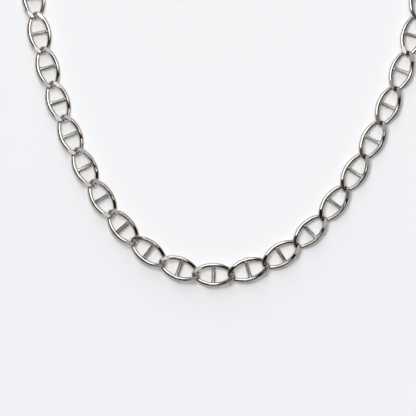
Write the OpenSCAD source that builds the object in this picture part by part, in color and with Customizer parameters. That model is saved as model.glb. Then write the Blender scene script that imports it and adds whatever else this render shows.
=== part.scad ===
// Mariner link necklace lying flat: pointed oval links with a cross bar, each hooked through the
// next, closed by a lobster clasp and two small rings. The links are twisted, so that each one
// passes over its neighbour on one side and under it on the other, and planed flat where they
// stand highest.

/* [Link] */
// Length of a link over its points
link_l = 12.8; // [12.4:0.1:14]
// Width of a link over its sides
link_w = 7; // [6.6:0.1:7.6]
// Thickness of the wire along the sides
side_d = 1.3; // [1.1:0.05:1.4]
// Thickness of the wire at the points, where the next link hooks in
point_d = 0.85; // [0.75:0.05:0.95]
// Thickness of the cross bar
bar_d = 1.1; // [0.8:0.05:1.3]
// Height of a raised side above the middle of the link
lift = 0.78; // [0.74:0.01:0.9]
// Thickness of the link between its planed flats
flat_t = 2.36; // [2.26:0.02:2.5]
// Clearance between two pieces where they hook
hook_gap = 0.2; // [0.15:0.01:0.25]

/* [Chain] */
// Number of links
links = 42; // [38:1:46]
// Number of links that lie pushed together
loose_links = 22; // [0:1:36]
// How much closer two links lie there
slack = 0.5; // [0:0.05:0.6]

/* [Rings] */
// Outer diameter of the two small rings
ring_d = 3.9; // [3.8:0.1:4.6]
// Thickness of the rings' wire
ring_wire = 0.75; // [0.6:0.05:0.8]
// Angle at which the rings lean
ring_lean = 37; // [36:1:48]

/* [Clasp] */
// Length of the clasp over its eye and nose
clasp_l = 11; // [10:0.1:13]
// Width across the nose
nose_w = 4.6; // [4.4:0.1:5.4]
// Width across the heel
heel_w = 3; // [2.6:0.1:3.4]
// Thickness of the clasp in its middle
clasp_t = 1.4; // [1.2:0.1:1.8]
// Width of the metal round the opening
jaw_w = 0.9; // [0.7:0.05:1]
// Outer diameter of the eye
eye_d = 3.2; // [3.1:0.1:3.8]
// Thickness of the eye's wire
eye_wire = 0.8; // [0.7:0.05:0.9]
// Angle at which the clasp leans
clasp_lean = 22; // [18:1:28]
// Width of the thumb lever
lever_w = 1; // [0.8:0.1:1.4]
// How far the thumb lever stands out of the heel
lever_out = 0.8; // [0.4:0.1:1.2]

/* [Hidden] */
// Places along the loop, on the surface it lies on, from the clasp round to the clasp again
route = [
    [5.2, 87.8], [-26.8, 76.8], [-50.2, 45.2], [-57.6, 1.6], [-48, -42.2], [-28.8, -76.2],
    [-4.8, -87.8], [21.4, -77.4], [43.6, -45], [57.2, -0.8], [53.8, 43.4], [34.8, 75.6],
];
route_steps = 24;  // steps from one place to the next
quarter_rings = 6; // facets along a quarter of a link
wire_sides = 6;
round_sides = 32;
shoulder = 3.4;    // how far the sides keep straight before they turn in to a point
point_turn = 0.85; // how round a point is, seen from above
side_rise = 0.1;   // how much the sides rise beside the bar already
taper_end = 0.5;   // share of a quarter over which the wire grows from point to side
eye_turn = -72;    // angle of the eye to the clasp's body
crown_r = 12;      // radius of the clasp's crowned faces
lip = 0.05;        // how much wider the body is than the nose that joins it
nose_root = 5;     // angle by which each end of the nose reaches into the body

half_l = (link_l - point_d) / 2;
half_w = (link_w - side_d) / 2;
crest = (lift - 2 / 9 * side_rise) * 9 / 4; // a curve reaches 4/9 of its pull

function link_name(i) = str("link_", i < 10 ? "0" : "", i);

// A quarter of a link's middle line, from its point at u = 0 to the bar at u = 1
quarter = [[half_l, 0, 0], [half_l, point_turn, crest], [shoulder, half_w, side_rise], [0, half_w, 0]];
function bezier(p, u) =
    let (v = 1 - u) v * v * v * p[0] + 3 * v * v * u * p[1] + 3 * v * u * u * p[2] + u * u * u * p[3];

// Round a whole link, t goes from 0 to 4, and every second quarter is raised
function share(t) = let (f = t - floor(t)) floor(t) % 2 == 0 ? f : 1 - f;
function turned(t) = [[1, 1, -1], [-1, 1, 1], [-1, -1, -1], [1, -1, 1]][floor(t)];
function middle(t) = let (p = bezier(quarter, share(t)), s = turned(t)) [p.x * s.x, p.y * s.y, p.z * s.z];
function smooth(u) = let (v = min(1, u)) v * v * (3 - 2 * v);
function wire_d(t) = point_d + (side_d - point_d) * smooth(share(t) / taper_end);
function unit(v) = v / norm(v);

module link_wire() {
    rings = 4 * quarter_rings;
    mid = [for (i = [0 : rings - 1]) middle(i / quarter_rings)];
    points = [
        for (i = [0 : rings - 1])
            let (
                along = unit(mid[(i + 1) % rings] - mid[(i + rings - 1) % rings]),
                across = unit(cross([0, 0, 1], along)),
                up = cross(along, across),
                r = wire_d(i / quarter_rings) / 2
            )
            for (k = [0 : wire_sides - 1])
                let (a = 360 * k / wire_sides) mid[i] + r * (cos(a) * across + sin(a) * up)
    ];
    faces = [
        for (i = [0 : rings - 1], k = [0 : wire_sides - 1])
            let (
                next_i = (i + 1) % rings,
                next_k = (k + 1) % wire_sides,
                a = i * wire_sides + k,
                b = i * wire_sides + next_k,
                c = next_i * wire_sides + next_k,
                d = next_i * wire_sides + k
            )
            each [[a, c, b], [a, d, c]]
    ];
    polyhedron(points, faces);
}

module link() {
    color("silver")
        intersection() {
            union() {
                link_wire();
                rotate([90, 0, 0])
                    cylinder(d = bar_d, h = 2 * half_w, center = true, $fn = round_sides);
            }
            cube([link_l + 1, link_w + 1, flat_t], center = true);
        }
}

module ring(outer_d, wire) {
    rotate_extrude($fn = round_sides)
        translate([(outer_d - wire) / 2, 0]) circle(d = wire, $fn = round_sides);
}

// Outline with a round back end of radius r1 at x1 and straight sides to half the width r2 at x2
module outline(x1, r1, x2, r2) {
    translate([x1, 0]) circle(r = r1, $fn = round_sides);
    polygon([[x1, -r1], [x2, -r2], [x2, r2], [x1, r1]]);
}

eye_x = -(clasp_l - eye_d) / 2;
heel_x = eye_x + eye_d / 2 - eye_wire + heel_w / 2;
opening_x = heel_x + heel_w / 2;
nose_x = (clasp_l - nose_w) / 2;
nose_r = (nose_w - jaw_w) / 2;
jaw_half = jaw_w / 2 + lip;

module clasp_body() {
    intersection() {
        difference() {
            linear_extrude(clasp_t, center = true) {
                outline(heel_x, heel_w / 2, nose_x, nose_r + jaw_half);
                translate([heel_x, heel_w / 2]) square([lever_w, 2 * lever_out], center = true);
            }
            linear_extrude(2 * clasp_t, center = true) {
                outline(opening_x, heel_w / 2 - jaw_w, nose_x, nose_r - jaw_half);
                translate([nose_x, 0]) square(2 * (nose_r - jaw_half), center = true);
            }
        }
        intersection_for (side = [-1, 1])
            translate([0, 0, side * (clasp_t / 2 - crown_r)]) rotate([0, 90, 0])
                cylinder(r = crown_r, h = 2 * clasp_l, center = true, $fn = round_sides);
    }
}

// The front half of a ring, which closes the jaw and is rooted in the body
module nose() {
    translate([nose_x, 0, 0])
        rotate_extrude(angle = 180 + 2 * nose_root, start = -90 - nose_root, $fn = round_sides)
            translate([nose_r, 0]) circle(d = jaw_w, $fn = round_sides);
}

module clasp_shape() {
    color("silver") {
        clasp_body();
        nose();
        translate([eye_x, 0, 0]) rotate([eye_turn, 0, 0]) ring(eye_d, eye_wire);
    }
}

// From the middle of a piece of length l and end wire d to the middle of its hook
function reach(l, d, other_d) = (l - d) / 2 - (d + other_d) / 4 - hook_gap / 2;
link_reach = reach(link_l, point_d, point_d);
end_reach = reach(link_l, point_d, ring_wire);
ring_to_link = reach(ring_d, ring_wire, point_d);
ring_to_nose = reach(ring_d, ring_wire, jaw_w);
ring_to_eye = reach(ring_d, ring_wire, eye_wire);
nose_reach = reach(clasp_l, jaw_w, ring_wire);
eye_reach = reach(clasp_l, eye_wire, ring_wire);

function link_span(i) =
    (i == 1 ? end_reach : link_reach) + (i == links ? end_reach : link_reach)
    - (i > 1 && i <= loose_links + 1 ? slack : 0);

// Lengths along the chain from the clasp's middle to its first hook, from hook to hook and back
spans = [
    nose_reach, ring_to_nose + ring_to_link,
    for (i = [1 : links]) link_span(i),
    ring_to_link + ring_to_eye, eye_reach,
];
function running(list) =
    [for (i = 0, s = list[0]; i < len(list); i = i + 1, s = i < len(list) ? s + list[i] : s) s];
hooks = running(spans);
chain_l = hooks[len(hooks) - 1];

// A smooth closed line through the route's places, made as long as the chain
function between(p, i, t) =
    let (n = len(p), a = p[(i + n - 1) % n], b = p[i % n], c = p[(i + 1) % n], d = p[(i + 2) % n])
    b + t / 2 * (c - a + t * (2 * a - 5 * b + 4 * c - d + t * (3 * b - a - 3 * c + d)));
line = [
    for (i = [0 : len(route) - 1], k = [0 : route_steps - 1]) between(route, i, k / route_steps),
    route[0],
];
line_s = concat([0], running([for (i = [1 : len(line) - 1]) norm(line[i] - line[i - 1])]));
line_scale = chain_l / line_s[len(line_s) - 1];
line_x = [for (i = [0 : len(line) - 1]) line_scale * [line_s[i], line[i].x]];
line_y = [for (i = [0 : len(line) - 1]) line_scale * [line_s[i], line[i].y]];
function on_line(s) = [lookup(s, line_x), lookup(s, line_y)];
function hook(i) = on_line(hooks[i]);

// The middle of the loop's box, which becomes the origin
function laid_middle(i, t) =
    let (from = hook(i), to = hook(i + 1), along = unit(to - from), p = middle(t))
    (from + to) / 2 + [along.x * p.x - along.y * p.y, along.y * p.x + along.x * p.y];
loop_points = [
    for (i = [1 : links], k = [0 : 4 * quarter_rings - 1]) laid_middle(i, k / quarter_rings)
];
loop_x = [for (p = loop_points) p.x];
loop_y = [for (p = loop_points) p.y];
loop_middle = [min(loop_x) + max(loop_x), min(loop_y) + max(loop_y)] / 2;

// Lays a piece from hook to hook with its middle at the given height
module lay(from, to, from_reach, to_reach, height) {
    at = from + (to - from) * from_reach / (from_reach + to_reach) - loop_middle;
    translate([at.x, at.y, height]) rotate([0, 0, atan2(to.y - from.y, to.x - from.x)]) children();
}

module laid_link(i) {
    lay(hook(i), hook(i + 1), link_reach, link_reach, flat_t / 2) link();
}

ring_height = (ring_d - ring_wire) / 2 * sin(ring_lean) + ring_wire / 2;
eye_height = (eye_d - eye_wire) / 2 * abs(sin(clasp_lean + eye_turn)) + eye_wire / 2;
edge_y = nose_r + jaw_half;
edge_t = clasp_t / 2 - crown_r + sqrt(crown_r * crown_r - edge_y * edge_y);
edge_height = edge_y * sin(clasp_lean) + edge_t * cos(clasp_lean);
clasp_height = max(eye_height, edge_height);

module end_ring() {
    color("silver")
        lay(hook(0), hook(1), ring_to_nose, ring_to_link, ring_height)
            rotate([-ring_lean, 0, 0]) ring(ring_d, ring_wire);
}

module clasp_ring() {
    color("silver")
        lay(hook(links + 1), hook(links + 2), ring_to_link, ring_to_eye, ring_height)
            rotate([ring_lean, 0, 0]) ring(ring_d, ring_wire);
}

module clasp() {
    lay(hook(links + 2), hook(0), eye_reach, nose_reach, clasp_height)
        rotate([clasp_lean, 0, 0]) clasp_shape();
}

for (i = [1 : links])
    laid_link(i);
end_ring();
clasp_ring();
clasp();
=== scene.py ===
import math

import bmesh
import bpy
import numpy as np
from mathutils import Matrix, Vector, geometry, kdtree


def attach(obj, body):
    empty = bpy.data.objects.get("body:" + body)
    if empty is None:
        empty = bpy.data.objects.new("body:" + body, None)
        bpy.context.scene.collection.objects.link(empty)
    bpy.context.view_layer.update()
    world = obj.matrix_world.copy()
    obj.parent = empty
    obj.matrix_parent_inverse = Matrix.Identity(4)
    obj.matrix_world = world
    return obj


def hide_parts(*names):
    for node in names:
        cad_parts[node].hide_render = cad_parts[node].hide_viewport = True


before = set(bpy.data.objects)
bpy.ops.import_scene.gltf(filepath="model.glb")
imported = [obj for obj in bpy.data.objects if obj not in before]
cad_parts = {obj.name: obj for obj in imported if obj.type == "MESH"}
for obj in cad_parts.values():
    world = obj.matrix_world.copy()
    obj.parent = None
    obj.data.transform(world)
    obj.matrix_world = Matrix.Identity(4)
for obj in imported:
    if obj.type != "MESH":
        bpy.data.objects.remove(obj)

# A mariner link necklace on a pale table: polished wire links, planed flat where they stand
# highest. The sizes of the pieces and the camera's view are written in millimetres and made
# metres by MM. The places and sizes of the lamps are written in metres.
MM = 0.001
FULL_TURN = 2 * math.pi
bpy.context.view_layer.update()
scene = bpy.context.scene
scene.view_settings.view_transform = "Standard"

# Sizes of a link, as the part's source has them
LINK_LONG, LINK_WIDE, LINK_THICK = 12.8, 7.0, 2.36
SIDE_WIRE, POINT_WIRE, BAR_WIRE = 1.3, 0.85, 1.1
LIFT = 0.78  # height of a raised side's middle above the middle of the link
SIDE_RISE = 0.1  # how much the sides rise beside the bar already
SHOULDER = 3.4  # how far the sides keep straight before they turn in to a point
POINT_TURN = 0.85  # how round a point is, seen from above
TAPER_END = 0.5  # share of a quarter over which the wire grows from point to side
HALF_LONG, HALF_WIDE = (LINK_LONG - POINT_WIRE) / 2, (LINK_WIDE - SIDE_WIRE) / 2
CREST = (LIFT - 2 / 9 * SIDE_RISE) * 9 / 4  # a curve reaches 4/9 of its pull
LINKS = sorted(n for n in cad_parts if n.startswith("link_"))

# How far the back and the front flat of a link lean away from the loop's middle, where the
# camera sees them: the links don't lie quite level, and the file takes off a bit more or less
LEANS = {
    13: (-0.12, -0.02), 14: (0.04, 0.025), 15: (-0.03, -0.05), 16: (-0.005, -0.11), 17: (-0.03, -0.13),
    18: (-0.07, -0.175), 19: (-0.11, -0.155), 20: (0.11, 0.055), 21: (-0.01, 0.035), 22: (0.02, 0.05),
    23: (0.2, 0.07), 24: (0.25, -0.165), 25: (0.12, -0.135), 26: (0.2, -0.03), 27: (0.065, -0.035),
    28: (0.07, 0.0), 29: (0.06, 0.025), 30: (0.04, 0.01),
}
# The flats of the other links lean by up to OTHER_LEAN: from link to link the lean swings on by
# LEAN_TURN, and from the back flat to the front one by FRONT_TURN
OTHER_LEAN, LEAN_TURN, FRONT_TURN = 0.08, 2.4, 2

# The camera looks straight down on the lower half of the loop
VIEW_MIDDLE = Vector((-6.14, -67.3, 0)) * MM
LOOP_MIDDLE = Vector((0, -10, 0)) * MM
VIEW_WIDE, VIEW_HIGH = 121.84 * MM, 550 * MM


# Shader maths
class Sock:
    """A node's output that takes part in plain sums."""

    def __init__(self, made, out):
        self.made, self.out = made, out

    def _math(self, operation, *values):
        return self.made.node("Math", *values, settings={"operation": operation})

    def __add__(self, other):
        return self._math("ADD", self, other)

    def __radd__(self, other):
        return self._math("ADD", other, self)

    def __sub__(self, other):
        return self._math("SUBTRACT", self, other)

    def __rsub__(self, other):
        return self._math("SUBTRACT", other, self)

    def __mul__(self, other):
        return self._math("MULTIPLY", self, other)

    def __rmul__(self, other):
        return self._math("MULTIPLY", other, self)

    def __truediv__(self, other):
        return self._math("DIVIDE", self, other)

    def __abs__(self):
        return self._math("ABSOLUTE", self)


class Tree:
    """Builds the node tree of a material, a lamp or the world."""

    def __init__(self, owner):
        owner.use_nodes = True
        self.nodes, self.links = owner.node_tree.nodes, owner.node_tree.links
        self.nodes.clear()

    def _feed(self, socket, value):
        if isinstance(value, Sock):
            self.links.new(value.out, socket)
        else:
            socket.default_value = value

    def node(self, kind, *values, settings=None, out=0, **named):
        """Makes a node from its settings and its sockets' values or links, and returns one output."""
        made = self.nodes.new("ShaderNode" + kind)
        for key, value in (settings or {}).items():
            setattr(made, key, value)
        for i, value in enumerate(values):
            self._feed(made.inputs[i], value)
        for key, value in named.items():
            self._feed(made.inputs[key.replace("_", " ")], value)
        return Sock(self, made.outputs[out]) if made.outputs else None

    def ramp(self, value, low, high):
        """0 at low and below, 1 at high and above, smooth between them."""
        return self.node("MapRange", value, low, high, settings={"interpolation_type": "SMOOTHSTEP"})

    def colours(self, share, first, second):
        """A mix of two colours; a Mix node's sockets have one name for each of its data types."""
        made = self.nodes.new("ShaderNodeMix")
        made.data_type = "RGBA"
        for socket, value in ((0, share), (6, first), (7, second)):
            self._feed(made.inputs[socket], value)
        return Sock(self, made.outputs[2])

    def attribute(self, name, out):
        return self.node("Attribute", settings={"attribute_name": name}, out=out)


# Finishes
# The second colour is a dark brown for real tarnish and for painted shade where the wires of
# neighbouring links run close
EDGE_TINT, TARNISH_AND_SHADE, DIE_LINE = (0.25, 0.16, 0.1, 1), (0.06, 0.045, 0.035, 1), (0.12, 0.1, 0.085, 1)
# How often the patterns repeat in a metre of a piece, and how the file's streaks turn on it and
# how deep they are
CLOUD_SCALE, STREAK_SCALE, DIE_SCALE = 420, (300, 9000, 3000), (3600, 120, 3600)
STREAK_TURN, STREAK_DEPTH = (0, 0, math.radians(-35)), 0.02 * MM
DIE_RANGE = 0.4, 0.52  # where the noise turns from a die line to bright metal
# How much the clouds change the tarnish and painted shade and the roughness, and how much the tarnish
# and painted shade roughen
CLOUDED_TARNISH_SHADE, CLOUDED_ROUGH, TARNISH_SHADE_ROUGH = 0.3, 0.1, 0.15


def silver(name, colour, rough, grain, tarnish_and_shade, leaning=False, drawn=False, metallic=1.0):
    """Silver that is clouded and streaked by its grain, and tarnished and darkened with painted shade
    where pieces run close.
    """
    material = bpy.data.materials.new(name)
    tree = Tree(material)
    own = tree.attribute("own", "Vector")
    cloud = tree.node("TexNoise", own, Scale=CLOUD_SCALE, Detail=3) - 0.5
    streak_at = tree.node("Mapping", own, Rotation=STREAK_TURN, Scale=STREAK_SCALE)
    streak = tree.node("TexNoise", streak_at, Scale=1, Detail=4)
    # Where the wires of neighbouring links run close, the silver is tarnished and darkened with painted
    # shade
    tarnish_shade_mask = tree.ramp(tree.attribute("close", "Fac") + CLOUDED_TARNISH_SHADE * cloud, 0.1, 0.9) * tarnish_and_shade
    tint = tree.colours(tarnish_shade_mask, (*colour, 1), TARNISH_AND_SHADE)
    if drawn:
        die_at = tree.node("Mapping", own, Scale=DIE_SCALE)
        die = tree.ramp(tree.node("TexNoise", die_at, Scale=1, Detail=1), *DIE_RANGE)
        tint = tree.colours(die, DIE_LINE, tint)
    rough_all = rough + CLOUDED_ROUGH * cloud + grain * (streak - 0.5) + TARNISH_SHADE_ROUGH * tarnish_shade_mask
    bump = tree.node("Bump", Strength=grain, Distance=STREAK_DEPTH, Height=streak)
    if leaning:
        place, lean = tree.node("TexCoord", out="Object"), tree.attribute("lean", "Vector")
        rise = tree.node("VectorMath", place, lean, settings={"operation": "DOT_PRODUCT"}, out="Value")
        bump = tree.node("Bump", Strength=1, Distance=1, Height=rise, Normal=bump)
    look = {"Base_Color": tint, "Metallic": metallic, "Roughness": rough_all, "Normal": bump}
    tree.node("OutputMaterial", tree.node("BsdfPrincipled", Specular_Tint=EDGE_TINT, **look))
    return material


# A silver's last number is how strongly it is tarnished and darkened with painted shade where links run
# close
POLISHED = silver("polished_silver", (0.685, 0.65, 0.613), 0.05, 0.02, 0.9)
PLANED = silver("planed_silver", (0.41, 0.405, 0.4), 0.2, 0.12, 0.0, leaning=True)
DRAWN = silver("drawn_silver", (0.88, 0.855, 0.83), 0.28, 0.05, 0.9, drawn=True, metallic=0.85)


# Pieces
MERGE = 0.0005  # points closer than this are one


def edges_of(faces):
    """The edges of some faces, each once and in the faces' order, so that each run is alike."""
    return list(dict.fromkeys(e for f in faces for e in f.edges))


def mesh_of(bm, name):
    mesh = bpy.data.meshes.new(name)
    bm.to_mesh(mesh)
    bm.free()
    return mesh


def add_piece(node, mesh, place, pattern_at, *finishes):
    """Puts a new silver piece where its node lies, and keeps each point's place on the piece."""
    co = np.empty(len(mesh.vertices) * 3, np.float32)
    mesh.vertices.foreach_get("co", co)
    own = mesh.attributes.new("own", "FLOAT_VECTOR", "POINT")
    own.data.foreach_set("vector", (co.reshape(-1, 3) + np.array(pattern_at, np.float32)).ravel() * MM)
    mesh.transform(place)
    for finish in finishes:
        mesh.materials.append(finish)
    piece = bpy.data.objects.new("silver_" + node, mesh)
    scene.collection.objects.link(piece)
    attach(piece, "root")
    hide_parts(node)


# The links
QUARTER_STEPS = 24  # steps of the wire from a point to the bar
WIRE_ROUNDNESS = 10
BAR_STEPS = 24
PLANED_SLOT, DRAWN_SLOT = 1, 2
FLAT_START = 1.5  # the flats lie further from the bar than this
RIM = 0.05  # width of the bevel round a flat
LEVEL, BEVEL_CORNERS = 0.999, 6  # a flat is level, and has more corners than a facet of its bevel
TARNISH_SHADE_NEAR, TARNISH_SHADE_FAR = 0.72 * MM, 1.32 * MM  # full and no tarnish and painted shade, by distance to a wire
PATTERN_STEP = Vector((40, 17, 0))  # from the pattern of one link to that of the next
# The bar's weld: distances before the side's wire, and how much the bar's radius grows there
WELD = ((0.45, 0), (0.25, 0.02), (0.1, 0.07), (0, 0.13), (-0.3, -0.05))


def wire_path():
    """The middle line and radius of a link's wire, once round from its front point."""
    point, crest = Vector((HALF_LONG, 0, 0)), Vector((HALF_LONG, POINT_TURN, CREST))
    side, weld = Vector((SHOULDER, HALF_WIDE, SIDE_RISE)), Vector((0, HALF_WIDE, 0))
    run = geometry.interpolate_bezier(point, crest, side, weld, QUARTER_STEPS + 1)
    quarters = ((1, 1, -1), False), ((-1, 1, 1), True), ((-1, -1, -1), False), ((1, -1, 1), True)
    path = []
    for signs, backwards in quarters:
        for i in range(QUARTER_STEPS, 0, -1) if backwards else range(QUARTER_STEPS):
            grown = min(1, i / QUARTER_STEPS / TAPER_END)
            grown = grown * grown * (3 - 2 * grown)
            at = Vector(a * b for a, b in zip(run[i], signs))
            path.append((at, (POINT_WIRE + (SIDE_WIRE - POINT_WIRE) * grown) / 2))
    return path


def wire_mesh():
    curve = bpy.data.curves.new("wire", "CURVE")
    curve.dimensions, curve.twist_mode = "3D", "Z_UP"
    curve.bevel_depth, curve.bevel_resolution = 1, WIRE_ROUNDNESS
    path = wire_path()
    spline = curve.splines.new("POLY")
    spline.points.add(len(path) - 1)
    for point, (at, radius) in zip(spline.points, path):
        point.co, point.radius = (*at, 1), radius
    spline.use_cyclic_u = True
    holder = bpy.data.objects.new("wire", curve)
    mesh = bpy.data.meshes.new_from_object(holder)
    bpy.data.objects.remove(holder)
    bpy.data.curves.remove(curve)
    return mesh


def add_bar(bm):
    """The cross bar, turned from a profile that is a little fuller where it is welded on."""
    radius, inner = BAR_WIRE / 2, HALF_WIDE - SIDE_WIRE / 2
    half = [(0, radius)] + [(inner - before, radius + more) for before, more in WELD]
    half.append((inner - WELD[-1][0], 0))
    profile = [(-y, x) for y, x in reversed(half[1:])] + half
    verts = [bm.verts.new((x, y, 0)) for y, x in profile]
    edges = [bm.edges.new(pair) for pair in zip(verts, verts[1:])]
    wires = set(bm.faces)
    turn = {"axis": (0, 1, 0), "angle": FULL_TURN, "steps": BAR_STEPS, "use_merge": True}
    bmesh.ops.spin(bm, geom=verts + edges, **turn)
    bmesh.ops.remove_doubles(bm, verts=bm.verts, dist=MERGE)
    for face in set(bm.faces) - wires:
        face.material_index = DRAWN_SLOT


def plane_flat(bm, side, low):
    """Planes the wire flat where it stands highest, or lowest, on that side of the bar."""
    height = -LINK_THICK / 2 if low else LINK_THICK / 2
    faces = [f for f in bm.faces if f.calc_center_median().x * side > FLAT_START]
    points = dict.fromkeys(v for f in faces for v in f.verts)
    plane = {"plane_co": (0, 0, height), "plane_no": (0, 0, -1 if low else 1), "clear_outer": True}
    cut = bmesh.ops.bisect_plane(bm, geom=[*faces, *edges_of(faces), *points], **plane)
    rim = [e for e in cut["geom_cut"] if isinstance(e, bmesh.types.BMEdge) and e.is_boundary]
    made = bmesh.ops.edgeloop_fill(bm, edges=rim)["faces"]
    for face in made:
        face.material_index = PLANED_SLOT
    return made


def link_mesh():
    """A link's wire and bar with four planed flats, whose rims are bevelled and polished."""
    bm = bmesh.new()
    bm.from_mesh(wire_mesh())
    add_bar(bm)
    bmesh.ops.recalc_face_normals(bm, faces=bm.faces)
    flats = [f for side in (-1, 1) for low in (False, True) for f in plane_flat(bm, side, low)]
    bevel = {"offset": RIM, "segments": 2, "profile": 0.5, "affect": "EDGES", "material": -1}
    bmesh.ops.bevel(bm, geom=edges_of(flats), clamp_overlap=True, **bevel)
    for face in bm.faces:
        face.smooth = True
        if face.material_index != PLANED_SLOT:
            continue
        if abs(face.normal.z) > LEVEL and len(face.verts) > BEVEL_CORNERS:
            for edge in face.edges:
                edge.smooth = False
        else:
            face.material_index = 0
    return mesh_of(bm, "link")


def link_place(node):
    """Where a link lies: its middle and its heading, from its two points furthest apart."""
    co = np.array([v.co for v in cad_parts[node].data.vertices])
    tail = co[np.argmax(np.linalg.norm(co - co.mean(0), axis=1))]
    tip = co[np.argmax(np.linalg.norm(co - tail, axis=1))]
    turn = Matrix.Rotation(math.atan2(tip[1] - tail[1], tip[0] - tail[0]), 4, "Z")
    return Matrix.Translation((tip + tail) / 2) @ turn @ Matrix.Scale(MM, 4)


def near_wire(mesh, wires):
    """Stores how close each point of a placed piece is to the wires that run beside it, which sets its
    tarnish and painted shade.
    """
    tree = kdtree.KDTree(sum(len(points) for points in wires))
    for i, point in enumerate(p for points in wires for p in points):
        tree.insert(point, i)
    tree.balance()
    gaps = [tree.find(v.co)[2] for v in mesh.vertices]
    close = np.clip((TARNISH_SHADE_FAR - np.array(gaps)) / (TARNISH_SHADE_FAR - TARNISH_SHADE_NEAR), 0, 1)
    mesh.attributes.new("close", "FLOAT", "POINT").data.foreach_set("value", close)


def lean_flats(mesh, number, middle, ahead):
    """Stores how far the back and the front flat of a link lean away from the loop's middle."""
    outward = (middle - LOOP_MIDDLE).normalized()
    turns = LEAN_TURN * number, LEAN_TURN * number + FRONT_TURN
    back, front = LEANS.get(number) or [OTHER_LEAN * math.sin(turn) for turn in turns]
    leans = [front if (v.co - middle).dot(ahead) > 0 else back for v in mesh.vertices]
    values = [c for lean in leans for c in lean * -outward]
    mesh.attributes.new("lean", "FLOAT_VECTOR", "POINT").data.foreach_set("vector", values)


def add_links():
    made = link_mesh()
    places = [link_place(node) for node in LINKS]
    wires = [[place @ at for at, _ in wire_path()] for place in places]
    for i, node in enumerate(LINKS):
        mesh = made.copy()
        add_piece(node, mesh, places[i], PATTERN_STEP * i, POLISHED, PLANED, DRAWN)
        near_wire(mesh, wires[max(0, i - 1) : i] + wires[i + 1 : i + 2])
        before, middle, after = [places[k % len(places)].translation for k in (i - 1, i, i + 1)]
        lean_flats(mesh, i + 1, middle, after - before)


# Rings and clasp, with the outer diameters and wires that the part's source has
RING_OUT, RING_WIRE, EYE_OUT, EYE_WIRE = 3.9, 0.75, 3.2, 0.8
WIRE_SIDES, RING_STEPS, DISC_STEPS, RUN_STEPS = 20, 64, 40, 8
TIP = 0.001  # share of its thickness that an arm keeps at its very end
# Along the clasp from its middle: the eye, the round heel and the round nose
EYE_X, HEEL_X, HEEL_RADIUS, NOSE_X, NOSE_RADIUS = -3.9, -1.6, 1.5, 3.2, 1.85
CLASP_LEAN, EYE_TURN = math.radians(22), math.radians(-72)
# Where the outer ends of the clasp's eye and nose lie
EYE_END, NOSE_END = Vector((10.557, 87.988, 1.319)), Vector((-0.44, 88.225, 1.319))
# Rows of x, y, width and thickness along the arms of the clasp, from the heel on
HOOK = [
    (-2.2, -0.15, 2.2, 1.2), (-1.2, -0.7, 2.0, 1.35), (0.1, -1.18, 1.32, 1.36), (1.5, -1.54, 1.07, 1.2),
]
LEVER = [(-1.6, 0.7, 1.1, 0.6), (-0.4, 1.1, 1.0, 0.8), (0.9, 1.4, 0.95, 0.95), (2.2, 1.7, 0.9, 0.92)]
THUMB_PIECE = [
    (HEEL_X - 0.3, 1.2, 0.7, 0.6), (HEEL_X - 0.1, 1.6, 0.7, 0.75), (HEEL_X - 0.05, 2.0, 0.95, 0.85),
]
# Rows of degrees round the nose, width and thickness, where the hook and the lever end
HOOK_NOSE = (
    (-105, 1.0, 1.05), (-75, 0.98, 1.03), (-45, 0.94, 0.99), (-15, 0.9, 0.95),
    (15, 0.88, 0.93), (45, 0.86, 0.91), (77.5, 0.84, 0.89),
)
LEVER_NOSE = (100, 0.87, 0.9), (85, 0.84, 0.89)
# Rows of radius and height of the heel's cheeks and of the rivet through them
CHEEKS = [
    (0, 0.7), (0.7, 0.685), (1.15, 0.62), (1.38, 0.5), (1.48, 0.38), (HEEL_RADIUS, 0.33),
    (1.48, 0.28), (1.4, 0.27), (1.4, 0),
]
RIVET, RIVET_X = [(0, 0.78), (0.36, 0.77), (0.44, 0.74), (0.48, 0.66), (0.48, 0)], HEEL_X + 0.2


def ring_mesh(outer, wire):
    """A round wire spun round Z."""
    bm = bmesh.new()
    made = bmesh.ops.create_circle(bm, segments=WIRE_SIDES, radius=wire / 2)["verts"]
    upright = Matrix.Translation(((outer - wire) / 2, 0, 0)) @ Matrix.Rotation(math.pi / 2, 4, "X")
    bmesh.ops.transform(bm, matrix=upright, verts=made)
    turn = {"axis": (0, 0, 1), "angle": FULL_TURN, "steps": RING_STEPS, "use_merge": True}
    bmesh.ops.spin(bm, geom=made + bm.edges[:], **turn)
    return mesh_of(bm, "ring")


def disc_mesh(profile):
    """A round part turned from rows of radius and height, alike on both faces."""
    bm = bmesh.new()
    both = profile + [(radius, -height) for radius, height in reversed(profile) if height]
    verts = [bm.verts.new((radius, 0, height)) for radius, height in both]
    edges = [bm.edges.new(pair) for pair in zip(verts, verts[1:])]
    turn = {"axis": (0, 0, 1), "angle": FULL_TURN, "steps": DISC_STEPS, "use_merge": True}
    bmesh.ops.spin(bm, geom=verts + edges, **turn)
    return mesh_of(bm, "disc")


def joined(bm, parts):
    """One closed smooth mesh of a shape and more parts, each with its place on it."""
    for part, place in parts:
        part.transform(place)
        bm.from_mesh(part)
        bpy.data.meshes.remove(part)
    for face in bm.faces:
        face.smooth = True
    bmesh.ops.remove_doubles(bm, verts=bm.verts, dist=MERGE)
    bmesh.ops.recalc_face_normals(bm, faces=bm.faces)
    return mesh_of(bm, "joined")


def add_ring(node, pattern_at):
    """A small closed ring that leans as its node does."""
    co = np.array([v.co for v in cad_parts[node].data.vertices])
    middle = (co.max(0) + co.min(0)) / 2
    normal = Vector(np.linalg.eigh(np.cov((co - co.mean(0)).T))[1][:, 0])
    lean = normal.to_track_quat("Z", "Y").to_matrix().to_4x4()
    mesh = joined(bmesh.new(), [(ring_mesh(RING_OUT, RING_WIRE), Matrix.Identity(4))])
    add_piece(node, mesh, Matrix.Translation(middle) @ lean @ Matrix.Scale(MM, 4), pattern_at, POLISHED)


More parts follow.
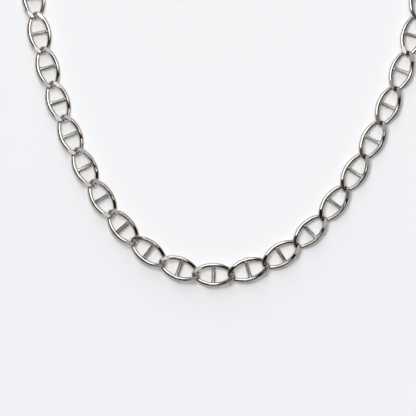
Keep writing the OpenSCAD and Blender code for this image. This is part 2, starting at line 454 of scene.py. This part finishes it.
def smooth_run(points):
    """A smooth run through rows of numbers, with its end rows kept."""
    rows = np.array([points[0], *points, points[-1]], float)
    run = []
    for before, first, last, after in zip(rows, rows[1:], rows[2:], rows[3:]):
        for t in np.arange(RUN_STEPS) / RUN_STEPS:
            bend = (2 * before - 5 * first + 4 * last - after) * t**2
            bend += (3 * first - before - 3 * last + after) * t**3
            run.append(first + ((last - before) * t + bend) / 2)
    return [*run, rows[-1]]


def add_arm(bm, points, blunt):
    """An arm of the clasp through rows of place, width and thickness, with rounded ends."""
    run = smooth_run(points)
    bends = [math.pi / 2 * share for share in (1, 0.8, 0.6, 0.4, 0.2)]
    rings = [(0, -blunt * math.sin(bend), math.cos(bend)) for bend in bends]
    rings += [(i, 0, 1) for i in range(len(run))]
    rings += [(len(run) - 1, blunt * math.sin(bend), math.cos(bend)) for bend in reversed(bends)]
    before = None
    for i, along, scale in rings:
        x, y, wide, thick = run[i]
        ahead = Vector((run[min(i + 1, len(run) - 1)] - run[max(i - 1, 0)])[:2]).normalized()
        aside = Vector((-ahead.y, ahead.x))
        ring = []
        for turn in (FULL_TURN * k / WIRE_SIDES for k in range(WIRE_SIDES)):
            out = aside * (wide / 2 * scale * math.cos(turn)) + ahead * along
            height = thick / 2 * max(scale, TIP) * math.sin(turn)
            ring.append(bm.verts.new((x + out.x, y + out.y, height)))
        if before:
            for k in range(WIRE_SIDES):
                bm.faces.new((before[k - 1], before[k], ring[k], ring[k - 1]))
        else:
            bm.faces.new(ring)
        before = ring
    bm.faces.new(before)


def round_nose(rows):
    """The rows of an arm's run round the clasp's nose."""
    run = []
    for degrees, wide, thick in rows:
        turn = math.radians(degrees)
        run.append((NOSE_X + NOSE_RADIUS * math.cos(turn), NOSE_RADIUS * math.sin(turn), wide, thick))
    return run


def add_clasp(node, pattern_at):
    """A lobster clasp: a hooked body, a closing lever with its thumb piece, a rivet and an eye."""
    bm = bmesh.new()
    add_arm(bm, HOOK + round_nose(HOOK_NOSE), blunt=0.12)
    add_arm(bm, LEVER + round_nose(LEVER_NOSE), blunt=0.08)
    add_arm(bm, THUMB_PIECE, blunt=0.3)
    eye_place = Matrix.Translation((EYE_X, 0, 0)) @ Matrix.Rotation(EYE_TURN, 4, "X")
    parts = [
        (disc_mesh(CHEEKS), Matrix.Translation((HEEL_X, 0, 0))),
        (disc_mesh(RIVET), Matrix.Translation((RIVET_X, 0, 0))),
        (ring_mesh(EYE_OUT, EYE_WIRE), eye_place),
    ]
    mesh = joined(bm, parts)
    ahead = NOSE_END - EYE_END
    lean = Matrix.Rotation(math.atan2(ahead.y, ahead.x), 4, "Z") @ Matrix.Rotation(CLASP_LEAN, 4, "X")
    place = Matrix.Translation((EYE_END + NOSE_END) / 2 * MM) @ lean @ Matrix.Scale(MM, 4)
    add_piece(node, mesh, place, pattern_at, POLISHED)


# Table, light and camera
TABLE_COLOUR = (0.89, 0.895, 0.91, 1)
# The room as the silver reflects it: warm walls and a dark ceiling, and how high the walls fade
WALLS, CEILING, WALL_FOOT, WALL_TOP = (0.38, 0.342, 0.304, 1), (0.01, 0.008, 0.006, 1), 0.05, 0.62
# The room as the matt table meets it, by itself and by way of the silver
ROOM_FILL, ROOM_BY_SILVER = (0.27, 0.274, 0.281, 1), (1.7, 1.7, 1.7, 1)
# The key light is a tall soft panel: its place over the view, softness and strength, top to foot
KEYS = (
    ("key_top", (-0.03, 0.09, 0.21), 0.06, 20.2),
    ("key_middle", (-0.04, 0.6, 0.45), 0.18, 4.9),
    ("key_low", (-0.04, 0.8, 0.3), 0.22, 2.4),
    ("key_foot", (-0.04, 1.0, 0.24), 0.2, 1.6),
)
# The two lamps that the silver shows, and their places over the view
SOFTBOX, SOFTBOX_PLACE = {"shape": "RECTANGLE", "size": 0.19, "size_y": 0.22}, (0, 0.11, 0.12)
STRIP, STRIP_PLACE = {"shape": "RECTANGLE", "size": 0.06, "size_y": 0.014}, (0, -0.02, 0.12)


def add_table():
    bm = bmesh.new()
    bmesh.ops.create_grid(bm, x_segments=1, y_segments=1, size=2)
    mesh = mesh_of(bm, "table")
    table = bpy.data.objects.new("table", mesh)
    scene.collection.objects.link(table)
    table.location.z = -0.01 * MM
    material = bpy.data.materials.new("pale_table")
    tree = Tree(material)
    surface = tree.node("BsdfPrincipled", Base_Color=TABLE_COLOUR, Roughness=0.7, Specular_IOR_Level=0.2)
    tree.node("OutputMaterial", surface)
    mesh.materials.append(material)


def add_lamp(name, kind, place, energy, shiny, **settings):
    """A lamp over the loop, seen either by the table or as a reflection in the silver."""
    lamp = bpy.data.lights.new(name, kind)
    lamp.energy = energy
    for key, value in settings.items():
        setattr(lamp, key, value)
    holder = bpy.data.objects.new(name, lamp)
    holder.location = VIEW_MIDDLE + Vector(place)
    holder.visible_glossy, holder.visible_diffuse, holder.visible_camera = shiny, not shiny, False
    scene.collection.objects.link(holder)
    return lamp


def even(lamp, strength):
    """Lets a lamp near the table light all of it alike, however far or slanting its light falls."""
    tree = Tree(lamp)
    slant = tree.node("SeparateXYZ", tree.node("NewGeometry", out="Normal"), out="Z")
    fall = tree.node("LightFalloff", strength, out="Constant")
    tree.node("OutputLight", tree.node("Emission", Strength=fall / abs(slant)))


def fade_edges(lamp, strength, margin):
    """Lets a square lamp fade over a margin, given as a share of its width, as a softbox does."""
    tree = Tree(lamp)
    across = tree.node("NewGeometry", out="Parametric")
    for way in ("X", "Y"):
        place = tree.node("SeparateXYZ", across, out=way)
        inward = tree.node("Math", place, 0.5, settings={"operation": "PINGPONG"})
        strength = tree.ramp(inward, 0, margin) * strength
    tree.node("OutputLight", tree.node("Emission", Strength=strength))


def add_room():
    """The world, which differs for the silver, for the table and for light between them."""
    scene.world = bpy.data.worlds.new("studio")
    tree = Tree(scene.world)
    up = tree.node("SeparateXYZ", tree.node("TexCoord", out="Generated"), out="Z")
    seen = tree.colours(tree.ramp(0 - up, -WALL_TOP, -WALL_FOOT), CEILING, WALLS)
    depth = tree.node("LightPath", out="Diffuse Depth")
    bounced = tree.node("Math", depth, 1, settings={"operation": "MINIMUM"})
    matt = tree.node("LightPath", out="Is Diffuse Ray")
    colour = tree.colours(matt, tree.colours(bounced, seen, ROOM_BY_SILVER), ROOM_FILL)
    tree.node("OutputWorld", tree.node("Background", Color=colour, Strength=1.0))


def add_lights():
    """The key light on the table, and a softbox and a strip that only the silver shows."""
    for name, place, soft, strength in KEYS:
        even(add_lamp(name, "POINT", place, 1.0, False, shadow_soft_size=soft), strength)
    softbox = add_lamp("softbox", "AREA", SOFTBOX_PLACE, 1.0, True, **SOFTBOX)
    fade_edges(softbox, strength=0.35, margin=0.28)
    add_lamp("strip", "AREA", STRIP_PLACE, 0.008, True, **STRIP)


def add_camera():
    camera = bpy.data.cameras.new("camera")
    camera.sensor_width = 36
    camera.lens = camera.sensor_width * VIEW_HIGH / VIEW_WIDE
    camera.clip_start, camera.clip_end = 0.01, 10
    holder = bpy.data.objects.new("camera", camera)
    holder.location = VIEW_MIDDLE + Vector((0, 0, VIEW_HIGH))
    scene.collection.objects.link(holder)
    scene.camera = holder


add_camera()
add_room()
add_lights()
add_table()
add_links()
add_ring("end_ring", pattern_at=(-60, 0, 0))
add_ring("clasp_ring", pattern_at=(-80, 0, 0))
add_clasp("clasp", pattern_at=(-100, 0, 0))
